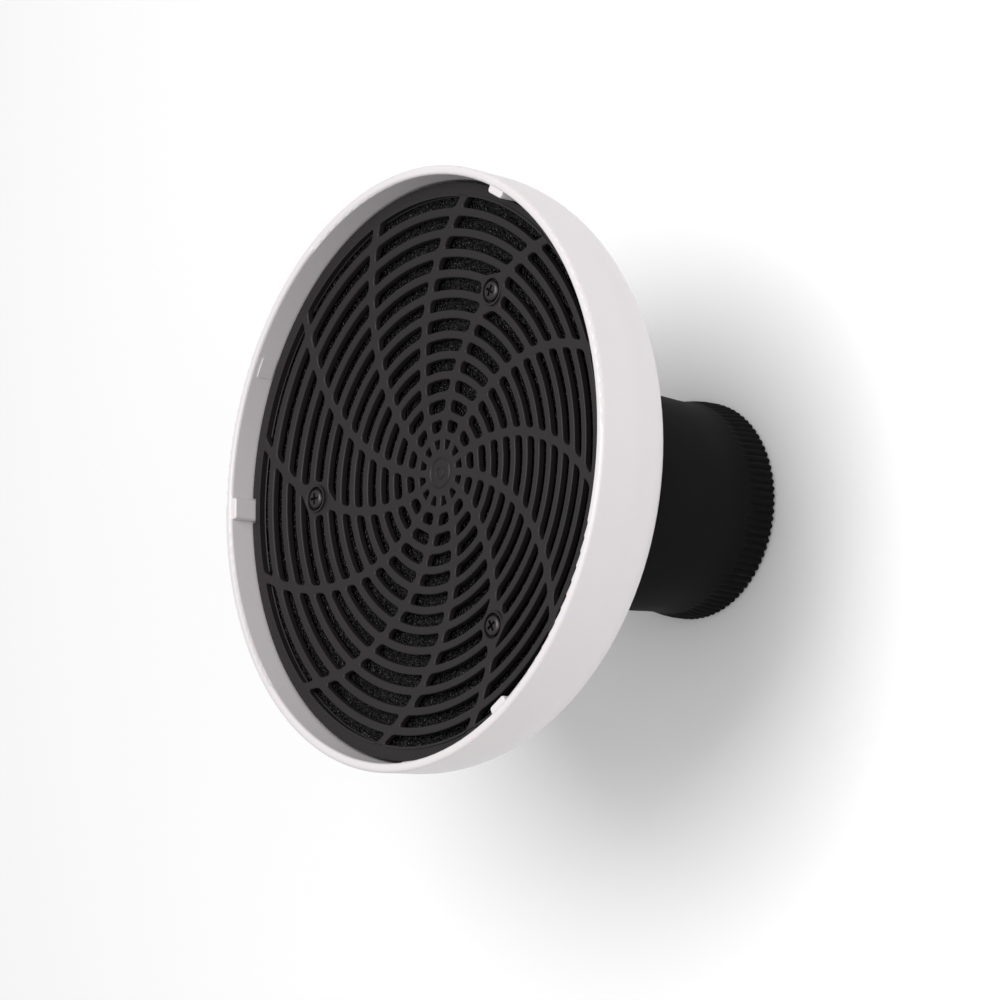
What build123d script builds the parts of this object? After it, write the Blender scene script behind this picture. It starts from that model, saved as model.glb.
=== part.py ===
from build123d import *
import os
from math import asin, cos, degrees, radians, sin, sqrt, tan

# Hair dryer diffuser with a swivelling rubber neck, standing on the end of its neck.
# The axis of the whole object is Z. The origin is on that axis, in the plane of the
# neck's open end, and the bowl opens upwards. All sizes are in millimetres.

# ---- Overall --------------------------------------------------------------------
bowl_diameter = 170.0        # outside of the lip
bowl_depth = 68.0            # lip to the bowl's rear edge
neck_length = 45.0           # what stands out of the bowl's rear edge

# ---- Clearances -----------------------------------------------------------------
moving_gap = 0.3             # between pieces that move on each other
fit_gap = 0.05               # screw in its pilot hole, sleeve on its core
seat_gap = 0.1               # grille boss above the rear grid's boss

# ---- Bowl -----------------------------------------------------------------------
lip_wall = 2.7
bowl_wall = 2.4
lip_round = 1.0
band_height = 22.2           # lip to the point where band and cone lines meet
band_draft = 0.8             # radius lost over the band
shoulder_radius = 24.0
rear_edge_wall = 2.2         # flat ring round the neck opening
rear_edge_round = 0.5
collar_height = 11.0         # inner collar, from the bowl's rear edge
key_count = 3                # keys, screw posts and wall pads all come in threes
key_width = 6.4
key_height = 2.0             # how far a key stands in from the wall
key_length = 12.0            # down from the lip
key_round = 0.9
key_top_round = 0.5
pad_width = 6.0              # shallow pad on the wall, beside the grille's edge
pad_height = 0.4
pad_length = 5.0
pad_top = 2.4                # below the lip
pad_angle = -30.0            # from the key

# ---- Screws that hold the grille --------------------------------------------------
screw_circle_radius = 54.0
first_screw_angle = 90.0
screw_radius = 1.5
screw_head_radius = 2.9
screw_head_height = 1.7
screw_grip_in_post = 9.0
pilot_spare = 1.0            # pilot holes go this much deeper than their screws
post_radius = 4.2
post_web = 1.8
post_web_drop = 4.0          # web's top below the post's top
cross_width = 0.8
cross_length = 3.4
cross_depth = 1.1
head_round_share = 0.6       # of a head's height

# ---- Front grille -----------------------------------------------------------------
grille_gap = 1.0             # to the bowl's wall
grille_recess = 7.0          # lip to the dish's edge
dish_depth = 6.7
grille_thickness = 2.2
border_width = 3.6
border_step = 0.3            # border below the dish's edge
border_thickness = 1.5
skirt_wall = 1.6             # downturned edge that centres the foam
skirt_depth = 4.5
notch_gap = 0.5              # round each key
first_ring_radius = 13.4
ring_pitch = 5.68
slot_width = 3.3
slot_corner = 1.3
rib_count = 12
rib_width = 2.5
rib_arc_radius = 57.3        # each rib is an arc that starts at the hub
hub_hole_inner = 6.9
hub_hole_outer = 9.5
hub_hole_spoke = 2.3
hub_ring_radius = 4.6
hub_ring_width = 0.7
hub_mark_radius = 0.9
raised_detail = 0.35
boss_pad_radius = 5.4
boss_recess_radius = 3.5
boss_recess_depth = 1.0
boss_rim_width = 0.7
grille_boss_radius = 3.8

# ---- Foam and rear grid -----------------------------------------------------------
foam_thickness = 8.0
foam_edge_gap = 0.7          # inside the grille's skirt
foam_hole_gap = 0.6          # round the rear grid's bosses
grid_thickness = 2.2
grid_edge_gap = 1.0          # to the bowl's wall
grid_ring_radii = (26.0, 40.0, 54.0, 67.0)
grid_ring_width = 2.0
grid_rim_width = 3.0
grid_hub_radius = 10.0
grid_spoke_count = 24
grid_spoke_width = 1.8
grid_boss_radius = 4.6
grid_boss_rise = 0.8
grid_post_room = 1.8         # cleared round each post, under the grid

# ---- Air deflector ----------------------------------------------------------------
deflector_radius = 24.0
deflector_drop = 10.0        # grid hub to the cone's edge
deflector_cone = 11.0
deflector_wall = 1.6
stem_radius = 3.8
deflector_screw_grip = 8.0
deflector_head_height = 1.2

# ---- Neck -------------------------------------------------------------------------
socket_diameter = 50.0       # where the dryer's barrel is pushed in
socket_depth = 28.0
socket_lead_in = 2.2
socket_lead_height = 2.6
sleeve_wall = 4.0            # round the socket
core_step = 1.2              # the core's outside is this much further out than the socket
core_wall = 2.8
flange_width = 6.8
flange_thickness = 2.0
knurl_flare = 3.4            # the knurled end stands out this far from the waist
knurl_count = 90
knurl_depth = 0.85
knurl_cutter_radius = 0.72
knurl_band = 4.0             # straight band before the flare
flare_length = 34.0
flare_waist_hold = 0.42      # of flare_length: how long the flare keeps to the waist
flare_band_hold = 0.24       # and to the knurled band
end_round = 1.4

# ---- Retaining ring -----------------------------------------------------------------
ring_thickness = 2.6
ring_boss_radius = 3.0
ring_boss_gap = 2.0          # from the core's flange
ring_edge = 3.5              # ring outside its screw circle
ring_screw_count = 4
ring_screw_angle = 45.0
ring_screw_grip = 4.6
ring_screw_radius = 1.4
ring_pilot_spare = 0.4

# ---- Levels and radii worked out from the sizes above -------------------------------
z_rear = neck_length
z_lip = neck_length + bowl_depth
z_collar = z_rear + collar_height
z_flange = z_collar + moving_gap
z_ring = z_flange + flange_thickness + moving_gap

socket_radius = socket_diameter / 2
sleeve_waist_radius = socket_radius + sleeve_wall
knurl_radius = sleeve_waist_radius + knurl_flare
core_outer_radius = socket_radius + core_step
flange_radius = core_outer_radius + flange_width
ring_boss_circle = flange_radius + ring_boss_gap + ring_boss_radius

lip_radius = bowl_diameter / 2
inner_lip_radius = lip_radius - lip_wall
opening_radius = sleeve_waist_radius + moving_gap
rear_edge_radius = opening_radius + rear_edge_wall
corner_radius = lip_radius - band_draft
z_corner = z_lip - band_height
cone_slope = (corner_radius - rear_edge_radius) / (z_corner - z_rear)
cone_wall_across = bowl_wall * sqrt(1 + cone_slope**2)
inner_corner_radius = corner_radius - bowl_wall
z_inner_corner = z_rear + (inner_corner_radius + cone_wall_across - rear_edge_radius) / cone_slope

grille_radius = inner_lip_radius - grille_gap
border_inner_radius = grille_radius - border_width
dish_radius = (border_inner_radius**2 + dish_depth**2) / (2 * dish_depth)
z_hub = z_lip - grille_recess - dish_depth
z_dish_centre = z_hub + dish_radius
ring_count = 1 + int((border_inner_radius - slot_width / 2 - first_ring_radius) / ring_pitch)
foam_offset = grille_thickness + moving_gap
grid_offset = foam_offset + foam_thickness + moving_gap
grid_back_offset = grid_offset + grid_thickness

thirds = [first_screw_angle + 360 / key_count * k for k in range(key_count)]


def inner_cone_radius(z):
    """Inside radius of the bowl's cone at height z."""
    return rear_edge_radius + cone_slope * (z - z_rear) - cone_wall_across


def inner_cone_height(radius):
    """Height at which the inside of the cone has this radius."""
    return z_rear + (radius + cone_wall_across - rear_edge_radius) / cone_slope


def inner_wall_radius(z):
    """Inside radius of the bowl at height z, through the shoulder's arc."""
    corner = Vector(inner_corner_radius, z_inner_corner)
    up_band = (Vector(inner_lip_radius, z_lip) - corner).normalized()
    down_cone = Vector(-cone_slope, -1).normalized()
    half_corner = radians(up_band.get_angle(down_cone)) / 2
    radius = shoulder_radius - bowl_wall
    centre = corner + (up_band + down_cone).normalized() * (radius / sin(half_corner))
    tangent = radius / tan(half_corner)
    if z > corner.Y + up_band.Y * tangent:
        return inner_lip_radius - (z_lip - z) * up_band.X / up_band.Y
    if z < corner.Y + down_cone.Y * tangent:
        return inner_cone_radius(z)
    return centre.X + sqrt(radius**2 - (z - centre.Y) ** 2)


def dish_height(radius, offset=0.0):
    """Height of the dished surface that lies offset below the grille's face."""
    return z_dish_centre - sqrt((dish_radius + offset) ** 2 - radius**2)


def around(radius, angle, z=0.0):
    """Place on a circle round the axis, turned so that local X points outwards."""
    return Location((radius * cos(radians(angle)), radius * sin(radians(angle)), z), (0, 0, angle))


def upright(radius, z_low, z_high):
    """Cylinder on the axis between two heights."""
    return Pos(0, 0, z_low) * Cylinder(radius, z_high - z_low, align=(Align.CENTER, Align.CENTER, Align.MIN))


def turned(outline):
    """Solid of revolution from a closed outline of (radius, height) edges."""
    return revolve(Plane.XZ * make_face(outline), Axis.Z)


def rounded(face, corners):
    """Round the corners of an XY face; corners are (point, radius) pairs."""
    for point, radius in corners:
        nearest = face.vertices().sort_by_distance(Vector(*point))[0]
        face = fillet(nearest, radius)
    return face


def dished_disc(outer_radius, top_offset, thickness, inner_radius=0.0):
    """Disc with dished faces, top_offset below the grille's face."""
    middle = (inner_radius + outer_radius) / 2
    bottom_offset = top_offset + thickness

    def on_dish(radius, offset):
        return (radius, dish_height(radius, offset))

    top = ThreePointArc(*[on_dish(r, top_offset) for r in (inner_radius, middle, outer_radius)])
    bottom = ThreePointArc(*[on_dish(r, bottom_offset) for r in (outer_radius, middle, inner_radius)])
    return turned([top, Line(top @ 1, bottom @ 0), bottom, Line(bottom @ 1, top @ 0)])


# ---- Bowl ---------------------------------------------------------------------------
def bowl_outline(inside):
    """Outer half outline of the bowl; inside is the list of points of its inner side."""
    outer = [(lip_radius, z_lip), (corner_radius, z_corner), (rear_edge_radius, z_rear)]
    face = make_face(Polyline(*outer, *inside, close=True))
    return rounded(face, [(outer[1], shoulder_radius)])


def make_bowl():
    collar_radius = opening_radius + rear_edge_wall
    inside = [
        (opening_radius, z_rear),
        (opening_radius, z_collar),
        (collar_radius, z_collar),
        (collar_radius, inner_cone_height(collar_radius)),
        (inner_corner_radius, z_inner_corner),
        (inner_lip_radius, z_lip),
    ]
    face = bowl_outline(inside)
    face = rounded(
        face,
        [
            ((inner_corner_radius, z_inner_corner), shoulder_radius - bowl_wall),
            ((lip_radius, z_lip), lip_round),
            ((inner_lip_radius, z_lip), lip_round),
            ((rear_edge_radius, z_rear), rear_edge_round),
        ],
    )
    shell = revolve(Plane.XZ * face, Axis.Z)
    filled = revolve(Plane.XZ * bowl_outline([(0, z_rear), (0, z_lip)]), Axis.Z)

    key_face = Rectangle(key_height + lip_wall / 2, key_width, align=(Align.MIN, Align.CENTER))
    key_face = fillet(key_face.vertices().group_by(Axis.X)[0], key_round)
    key = Pos(0, 0, z_lip - key_length) * extrude(key_face, key_length - key_top_round)
    key = fillet(key.edges().group_by(Axis.Z)[-1].sort_by(Axis.X)[:-1], key_top_round)

    pad_depth = pad_height + lip_wall / 2
    pad = Box(pad_depth, pad_width, pad_length, align=(Align.MIN, Align.CENTER, Align.MAX))

    z_post = dish_height(screw_circle_radius, grid_back_offset)
    web_length = inner_corner_radius - screw_circle_radius
    supports = []
    for angle in thirds:
        shell += around(inner_lip_radius - key_height, angle) * key
        shell += around(inner_lip_radius - pad_height, angle + pad_angle, z_lip - pad_top) * pad
        post = around(screw_circle_radius, angle) * upright(post_radius, z_rear, z_post)
        web = Box(
            web_length, post_web, z_post - post_web_drop - z_rear, align=(Align.MIN, Align.CENTER, Align.MIN)
        )
        supports += [post, around(screw_circle_radius, angle, z_rear) * web]
    for k in range(ring_screw_count):
        angle = ring_screw_angle + 360 / ring_screw_count * k
        supports.append(around(ring_boss_circle, angle) * upright(ring_boss_radius, z_rear, z_ring))
    for support in supports:
        shell += support & filled

    pilot = upright(screw_radius + fit_gap, z_post - screw_grip_in_post - pilot_spare, z_lip)
    ring_pilot = upright(ring_screw_radius + fit_gap, z_ring - ring_screw_grip - ring_pilot_spare, z_lip)
    for angle in thirds:
        shell -= around(screw_circle_radius, angle) * pilot
    for k in range(ring_screw_count):
        shell -= around(ring_boss_circle, ring_screw_angle + 360 / ring_screw_count * k) * ring_pilot
    return shell


# ---- Front grille -------------------------------------------------------------------
def rib_angle(radius):
    """Angle at which the first rib, the one that carries the first screw, crosses this radius."""
    at_screw = asin(screw_circle_radius / (2 * rib_arc_radius))
    return first_screw_angle + degrees(at_screw - asin(radius / (2 * rib_arc_radius)))


def rib_face(angle):
    """Strip along one rib: an arc of rib_arc_radius that leaves the hub at this angle."""
    sweep = 2 * degrees(asin(grille_radius / (2 * rib_arc_radius)))
    centre = Location((0, 0, 0), (0, 0, angle - 90)) * Pos(rib_arc_radius, 0, 0)
    inner = CenterArc((0, 0), rib_arc_radius - rib_width / 2, 180 - sweep, sweep)
    outer = CenterArc((0, 0), rib_arc_radius + rib_width / 2, 180 - sweep, sweep)
    return centre * make_face([inner, Line(inner @ 1, outer @ 1), outer, Line(outer @ 0, inner @ 0)])


def slot_faces():
    """Flat outlines of every slot: rings cut by the ribs and by the screw pads."""
    turns = [360 / rib_count * k for k in range(rib_count)]
    ribs = [rib_face(rib_angle(0) + turn) for turn in turns]
    pads = [around(screw_circle_radius, angle) * Circle(boss_pad_radius) for angle in thirds]
    faces = []
    for k in range(ring_count):
        radius = first_ring_radius + ring_pitch * k
        ring = Circle(radius + slot_width / 2) - Circle(radius - slot_width / 2)
        near_pad = abs(radius - screw_circle_radius) < boss_pad_radius + slot_width / 2
        ring -= ribs + (pads if near_pad else [])
        for face in ring.faces():
            core = offset(face, -slot_corner)
            faces += offset(core, slot_corner, kind=Kind.ARC).faces()
    spoke = Rectangle(2 * hub_hole_outer, hub_hole_spoke, align=(Align.MIN, Align.CENTER))
    spoke_angle = rib_angle((hub_hole_inner + hub_hole_outer) / 2)
    spokes = [Rot(0, 0, spoke_angle + turn) * spoke for turn in turns]
    hub_ring = Circle(hub_hole_outer) - Circle(hub_hole_inner) - spokes
    faces += hub_ring.faces()
    return faces


def make_front_grille():
    z_border = z_lip - grille_recess - border_step
    plate = dished_disc(border_inner_radius, 0.0, grille_thickness)
    border = upright(grille_radius, z_border - skirt_depth, z_border)
    border -= upright(grille_radius - skirt_wall, 0, z_border - border_thickness)
    border -= upright(border_inner_radius, 0, z_lip)
    plate += border
    slots = [extrude(face, z_lip) for face in slot_faces()]
    plate -= slots

    z_floor = dish_height(screw_circle_radius) - boss_recess_depth
    z_rim = dish_height(screw_circle_radius) + raised_detail
    z_boss = grid_boss_top() + seat_gap
    rim_radius = boss_recess_radius + boss_rim_width
    for angle in thirds:
        seat = around(screw_circle_radius, angle)
        plate += seat * upright(rim_radius, z_floor - grille_thickness, z_rim)
        plate += seat * upright(grille_boss_radius, z_boss, z_floor)
        plate -= seat * upright(boss_recess_radius, z_floor, z_lip)
        plate -= seat * upright(screw_radius + moving_gap, 0, z_lip)
        notch = Box(
            2 * (key_height + notch_gap),
            key_width + 2 * notch_gap,
            z_lip,
            align=(Align.CENTER, Align.CENTER, Align.MIN),
        )
        plate -= around(inner_lip_radius, angle) * notch

    hub_ring = upright(hub_ring_radius, z_hub - grille_thickness / 2, z_hub + raised_detail)
    hub_ring -= upright(hub_ring_radius - hub_ring_width, 0, z_lip)
    plate += hub_ring
    plate += upright(hub_mark_radius, z_hub - grille_thickness / 2, z_hub + raised_detail)
    return plate


# ---- Screws -------------------------------------------------------------------------
def make_screw(shank_radius, head_radius, head_height, z_head, shank_length):
    """Pan-head cross-recess screw, upright on the axis, its head's underside at z_head."""
    shank = upright(shank_radius, z_head - shank_length, z_head)
    head = upright(head_radius, z_head, z_head + head_height)
    head = fillet(head.edges().group_by(Axis.Z)[-1], head_height * head_round_share)
    tip = shank.edges().group_by(Axis.Z)[0]
    shank = chamfer(tip, shank_radius / 2)
    screw = shank + head
    for turn in (0, 90):
        cut = Box(cross_length, cross_width, cross_depth, align=(Align.CENTER, Align.CENTER, Align.MAX))
        screw -= Pos(0, 0, z_head + head_height) * Rot(0, 0, turn) * cut
    return screw


def grid_boss_top():
    """Top of the rear grid's screw bosses."""
    return dish_height(screw_circle_radius, grid_offset) + grid_boss_rise


def make_grille_screws():
    z_head = dish_height(screw_circle_radius) - boss_recess_depth
    z_post = dish_height(screw_circle_radius, grid_back_offset)
    screw = make_screw(
        screw_radius, screw_head_radius, screw_head_height, z_head, z_head - z_post + screw_grip_in_post
    )
    return [around(screw_circle_radius, angle) * screw for angle in thirds]


# ---- Foam and rear grid -------------------------------------------------------------
def make_foam():
    foam = dished_disc(grille_radius - skirt_wall - foam_edge_gap, foam_offset, foam_thickness)
    for angle in thirds:
        hole = upright(grid_boss_radius + foam_hole_gap, 0, z_lip)
        foam -= around(screw_circle_radius, angle) * hole
    return foam


def make_rear_grid():
    rim_radius = inner_wall_radius(dish_height(inner_corner_radius, grid_back_offset)) - grid_edge_gap
    disc = dished_disc(rim_radius, grid_offset, grid_thickness)
    bars = Circle(rim_radius) - Circle(rim_radius - grid_rim_width)
    for radius in grid_ring_radii:
        bars += Circle(radius + grid_ring_width / 2) - Circle(radius - grid_ring_width / 2)
    for k in range(grid_spoke_count):
        start = grid_ring_radii[0] if k % 2 else 0.0
        length = rim_radius - grid_rim_width / 2 - start
        spoke = Rectangle(length, grid_spoke_width, align=(Align.MIN, Align.CENTER))
        bars += Rot(0, 0, 360 / grid_spoke_count * k) * Pos(start, 0) * spoke
    bars += Circle(grid_hub_radius)
    for angle in thirds:
        bars += around(screw_circle_radius, angle) * Circle(grid_boss_radius)
    grid = disc & extrude(bars, z_lip)

    z_post = dish_height(screw_circle_radius, grid_back_offset)
    for angle in thirds:
        boss = upright(grid_boss_radius, z_post, grid_boss_top())
        grid += around(screw_circle_radius, angle) * boss
    for angle in thirds:
        seat = around(screw_circle_radius, angle)
        grid -= seat * upright(post_radius + grid_post_room, 0, z_post)
        grid -= seat * upright(screw_radius + moving_gap, 0, z_lip)
    hub_back = dish_height(0, grid_back_offset)
    grid -= upright(screw_radius + moving_gap, 0, z_lip)
    grid -= upright(screw_head_radius + moving_gap, hub_back + grid_thickness - deflector_head_height, z_lip)
    return grid


# ---- Air deflector ------------------------------------------------------------------
def make_air_deflector():
    z_top = dish_height(0, grid_back_offset)
    z_edge = z_top - deflector_drop
    z_apex = z_edge - deflector_cone
    cone_across = deflector_wall * sqrt(1 + (deflector_cone / deflector_radius) ** 2)
    z_stem = z_apex + cone_across + stem_radius * deflector_cone / deflector_radius
    outline = Polyline(
        (0, z_apex),
        (deflector_radius, z_edge),
        (deflector_radius, z_edge + cone_across),
        (stem_radius, z_stem),
        (stem_radius, z_top),
        (0, z_top),
        close=True,
    )
    deflector = turned(outline)
    return deflector - upright(screw_radius + fit_gap, z_top - deflector_screw_grip - pilot_spare, z_lip)


def make_deflector_screw():
    web_under_head = grid_thickness - deflector_head_height
    z_head = dish_height(0, grid_back_offset) + web_under_head
    grip = web_under_head + deflector_screw_grip
    return make_screw(screw_radius, screw_head_radius, deflector_head_height, z_head, grip)


# ---- Neck ---------------------------------------------------------------------------
def make_neck_core():
    inner = core_outer_radius - core_wall
    outline = Polyline(
        (inner, socket_depth),
        (core_outer_radius, socket_depth),
        (core_outer_radius, z_flange),
        (flange_radius, z_flange),
        (flange_radius, z_flange + flange_thickness),
        (inner, z_flange + flange_thickness),
        close=True,
    )
    return turned(outline)


def make_neck_sleeve():
    bore_over_core = core_outer_radius + fit_gap
    z_waist = knurl_band + flare_length
    inside = Polyline(
        (knurl_radius - end_round, 0),
        (socket_radius + socket_lead_in, 0),
        (socket_radius, socket_lead_height),
        (socket_radius, socket_depth),
        (bore_over_core, socket_depth),
        (bore_over_core, z_flange),
        (sleeve_waist_radius, z_flange),
        (sleeve_waist_radius, z_waist),
    )
    flare = Bezier(
        (sleeve_waist_radius, z_waist),
        (sleeve_waist_radius, z_waist - flare_waist_hold * flare_length),
        (knurl_radius, knurl_band + flare_band_hold * flare_length),
        (knurl_radius, knurl_band),
    )
    band = Line((knurl_radius, knurl_band), (knurl_radius, end_round))
    corner = RadiusArc((knurl_radius, end_round), (knurl_radius - end_round, 0), end_round)
    sleeve = turned([inside, flare, band, corner])

    cutter_height = knurl_band + flare_length
    root = knurl_radius - knurl_depth + knurl_cutter_radius
    grooves = [
        around(root, 360 / knurl_count * k, -1) * upright(knurl_cutter_radius, 0, cutter_height)
        for k in range(knurl_count)
    ]
    return sleeve - grooves


# ---- Retaining ring -----------------------------------------------------------------
def make_retaining_ring():
    ring = upright(ring_boss_circle + ring_edge, z_ring, z_ring + ring_thickness)
    ring -= upright(core_outer_radius + moving_gap, 0, z_lip)
    for k in range(ring_screw_count):
        hole = upright(ring_screw_radius + moving_gap, 0, z_lip)
        ring -= around(ring_boss_circle, ring_screw_angle + 360 / ring_screw_count * k) * hole
    for angle in thirds:
        ring -= around(screw_circle_radius, angle) * upright(post_radius + moving_gap, 0, z_lip)
    return ring


def make_ring_screws():
    z_head = z_ring + ring_thickness
    grip = ring_thickness + ring_screw_grip
    screw = make_screw(ring_screw_radius, screw_head_radius, screw_head_height, z_head, grip)
    places = [ring_screw_angle + 360 / ring_screw_count * k for k in range(ring_screw_count)]
    return [around(ring_boss_circle, angle) * screw for angle in places]


nodes = {
    "bowl": make_bowl,
    "front_grille": make_front_grille,
    "grille_screws": make_grille_screws,
    "foam_disc": make_foam,
    "rear_grid": make_rear_grid,
    "air_deflector": make_air_deflector,
    "deflector_screw": make_deflector_screw,
    "neck_core": make_neck_core,
    "neck_sleeve": make_neck_sleeve,
    "retaining_ring": make_retaining_ring,
    "ring_screws": make_ring_screws,
}

os.makedirs("parts", exist_ok=True)
for name, make in nodes.items():
    shape = make()
    if isinstance(shape, list):
        shape = Compound(children=shape)
    export_step(shape, f"parts/{name}.step")
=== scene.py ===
from math import acos, asin, cos, pi, radians, sin, sqrt

import bmesh
import bpy
from bpy.props import FloatProperty, IntProperty, PointerProperty, StringProperty
from mathutils import Matrix, Vector, noise
from mathutils.geometry import delaunay_2d_cdt, interpolate_bezier


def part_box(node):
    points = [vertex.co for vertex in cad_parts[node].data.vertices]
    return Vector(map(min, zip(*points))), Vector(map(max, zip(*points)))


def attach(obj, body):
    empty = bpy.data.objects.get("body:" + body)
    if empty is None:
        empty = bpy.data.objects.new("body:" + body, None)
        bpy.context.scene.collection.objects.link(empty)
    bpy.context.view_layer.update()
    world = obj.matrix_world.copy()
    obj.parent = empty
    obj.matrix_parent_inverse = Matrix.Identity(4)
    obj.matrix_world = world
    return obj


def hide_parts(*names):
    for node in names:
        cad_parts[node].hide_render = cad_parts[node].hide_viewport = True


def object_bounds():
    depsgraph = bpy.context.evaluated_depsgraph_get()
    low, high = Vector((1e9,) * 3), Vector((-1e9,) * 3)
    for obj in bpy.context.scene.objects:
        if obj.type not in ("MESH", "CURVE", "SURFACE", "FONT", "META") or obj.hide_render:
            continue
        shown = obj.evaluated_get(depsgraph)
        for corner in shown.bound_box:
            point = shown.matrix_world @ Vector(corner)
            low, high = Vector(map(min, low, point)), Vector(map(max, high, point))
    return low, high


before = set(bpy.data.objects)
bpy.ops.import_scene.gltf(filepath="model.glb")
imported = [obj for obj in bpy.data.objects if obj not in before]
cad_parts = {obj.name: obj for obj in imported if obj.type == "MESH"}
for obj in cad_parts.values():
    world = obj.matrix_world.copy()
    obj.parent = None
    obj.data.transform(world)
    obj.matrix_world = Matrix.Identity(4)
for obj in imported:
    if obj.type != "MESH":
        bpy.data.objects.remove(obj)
CAD_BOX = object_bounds()

bl_info = {
    "name": "Dryer Diffuser",
    "version": (1, 0, 0),
    "blender": (4, 5, 0),
    "location": "View3D > Sidebar > Diffuser",
    "description": "Builds a hair dryer diffuser with a dished grille, foam and a rubber neck",
    "category": "Add Mesh",
}

MM = 0.001
THIRD = 2 * pi / 3
SCREW_ANGLES = [pi / 2 + THIRD * k for k in range(3)]     # screws, keys and notches
ROUND_CORNER = 0.55                                       # handle length that makes a round corner

GRILLE_LOW, GRILLE_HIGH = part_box("front_grille")
FOAM_LOW, FOAM_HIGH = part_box("foam_disc")
SLEEVE_LOW, SLEEVE_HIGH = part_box("neck_sleeve")
BOWL_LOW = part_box("bowl")[0]
CORE_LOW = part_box("neck_core")[0]
GRILLE_RADIUS = (GRILLE_HIGH.x - GRILLE_LOW.x) / 2
SCREW_REACH = [v.co.xy.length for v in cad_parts["grille_screws"].data.vertices]
SCREW_CIRCLE = (min(SCREW_REACH) + max(SCREW_REACH)) / 2


def length(name, description, default):
    return FloatProperty(name=name, description=description, default=default, unit="LENGTH", precision=5)


def colour(name, description, default):
    return StringProperty(name=name, description=description + ", as an sRGB hex value", default=default)


def swing(name, description, degrees):
    return FloatProperty(name=name, description=description, default=radians(degrees), subtype="ANGLE")


def amount(name, description, default):
    return FloatProperty(name=name, description=description, default=default)


# ---- Settings -----------------------------------------------------------------------
class DiffuserBowlSettings(bpy.types.PropertyGroup):
    """Finish of the white bowl"""

    base: colour("Colour", "Colour of the moulded ABS", "#D6D1D3")
    roughness: amount("Roughness", "Roughness of the bowl", 0.36)
    grain: length("Grain", "Size of the mould's fine texture", 0.35 * MM)


class DiffuserGrilleSettings(bpy.types.PropertyGroup):
    """Shape and finish of the dished grille"""

    dish_depth: length("Dish Depth", "How far the hub lies behind the dish's edge", 6.7 * MM)
    thickness: length("Thickness", "Thickness of the bars", 2.2 * MM)
    edge_round: length("Edge Rounding", "Rounding of every edge of the bars", 0.42 * MM)
    border_width: length("Border Width", "Flat border outside the dish", 3.6 * MM)
    border_step: length("Border Step", "Border below the dish's edge", 0.3 * MM)
    border_thickness: length("Border Thickness", "Thickness of the border", 1.5 * MM)
    skirt_wall: length("Skirt Wall", "Wall of the downturned edge", 1.6 * MM)
    skirt_depth: length("Skirt Depth", "Depth of the downturned edge", 4.5 * MM)
    notch_width: length("Notch Width", "Width of the notches for the bowl's keys", 7.4 * MM)
    notch_depth: length("Notch Depth", "Depth of the notches for the bowl's keys", 1.5 * MM)
    first_ring: length("First Ring", "Radius of the innermost ring of slots", 13.4 * MM)
    ring_pitch: length("Ring Pitch", "From one ring of slots to the next", 5.68 * MM)
    ring_count: IntProperty(name="Rings", description="Number of rings of slots", default=12)
    slot_width: length("Slot Width", "Width of a slot", 3.3 * MM)
    slot_corner: length("Slot Corner", "Rounding of a slot's ends", 1.3 * MM)
    rib_count: IntProperty(name="Ribs", description="Number of curved ribs", default=12)
    rib_width: length("Rib Width", "Width of a rib", 2.5 * MM)
    rib_arc: length("Rib Arc", "Radius of the arc that each rib follows out of the hub", 57.3 * MM)
    hub_hole_inner: length("Hub Hole Inside", "Inner radius of the holes round the hub", 6.9 * MM)
    hub_hole_outer: length("Hub Hole Outside", "Outer radius of the holes round the hub", 9.5 * MM)
    hub_spoke: length("Hub Spoke", "Width of the spokes between those holes", 2.3 * MM)
    hub_corner: length("Hub Corner", "Rounding of those holes' corners", 0.3 * MM)
    hub_ring: length("Hub Ring", "Radius of the raised ring on the hub", 4.6 * MM)
    hub_mark: length("Gate Mark", "Radius of the round gate mark on the hub", 1.9 * MM)
    raised: length("Raised Detail", "Height of the hub ring and the screw seats' rims", 0.35 * MM)
    pad_radius: length("Screw Pad", "Radius of the solid pad round each screw", 5.4 * MM)
    recess_radius: length("Screw Recess", "Radius of the recess that the screw head sits in", 3.5 * MM)
    recess_depth: length("Recess Depth", "Depth of that recess", 1.0 * MM)
    rim_width: length("Rim Width", "Width of the rim round the recess", 0.7 * MM)
    boss_radius: length("Boss Radius", "Radius of the boss under the recess", 3.8 * MM)
    screw_hole: length("Screw Hole", "Radius of the hole for the screw", 1.8 * MM)
    base: colour("Colour", "Colour of the black plastic", "#211E1F")


class DiffuserFoamSettings(bpy.types.PropertyGroup):
    """Shape and finish of the foam disc"""

    thickness: length("Thickness", "Thickness of the foam", 8.0 * MM)
    hole_radius: length("Hole Radius", "Holes round the screw bosses", 5.2 * MM)
    cell: length("Cell", "Size of one foam cell", 1.25 * MM)
    voxel: length("Voxel", "Size of the mesh's faces", 0.5 * MM)
    pit_depth: length("Pit Depth", "Depth of the open cells in the surface", 0.7 * MM)
    pit_slope: amount("Pit Slope", "Steepness of the open cells' walls", 2.2)
    edge_round: length("Edge Rounding", "Rounding of the cut edges", 0.5 * MM)
    strand: colour("Strand Colour", "Colour of the foam's strands", "#0B0B0C")
    # Painted shade: the cells' middles get this darker colour in place of the shade deep in the open cells.
    pore_shade: colour("Painted Pore Shade", "Colour deep in the cells", "#020202")


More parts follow.
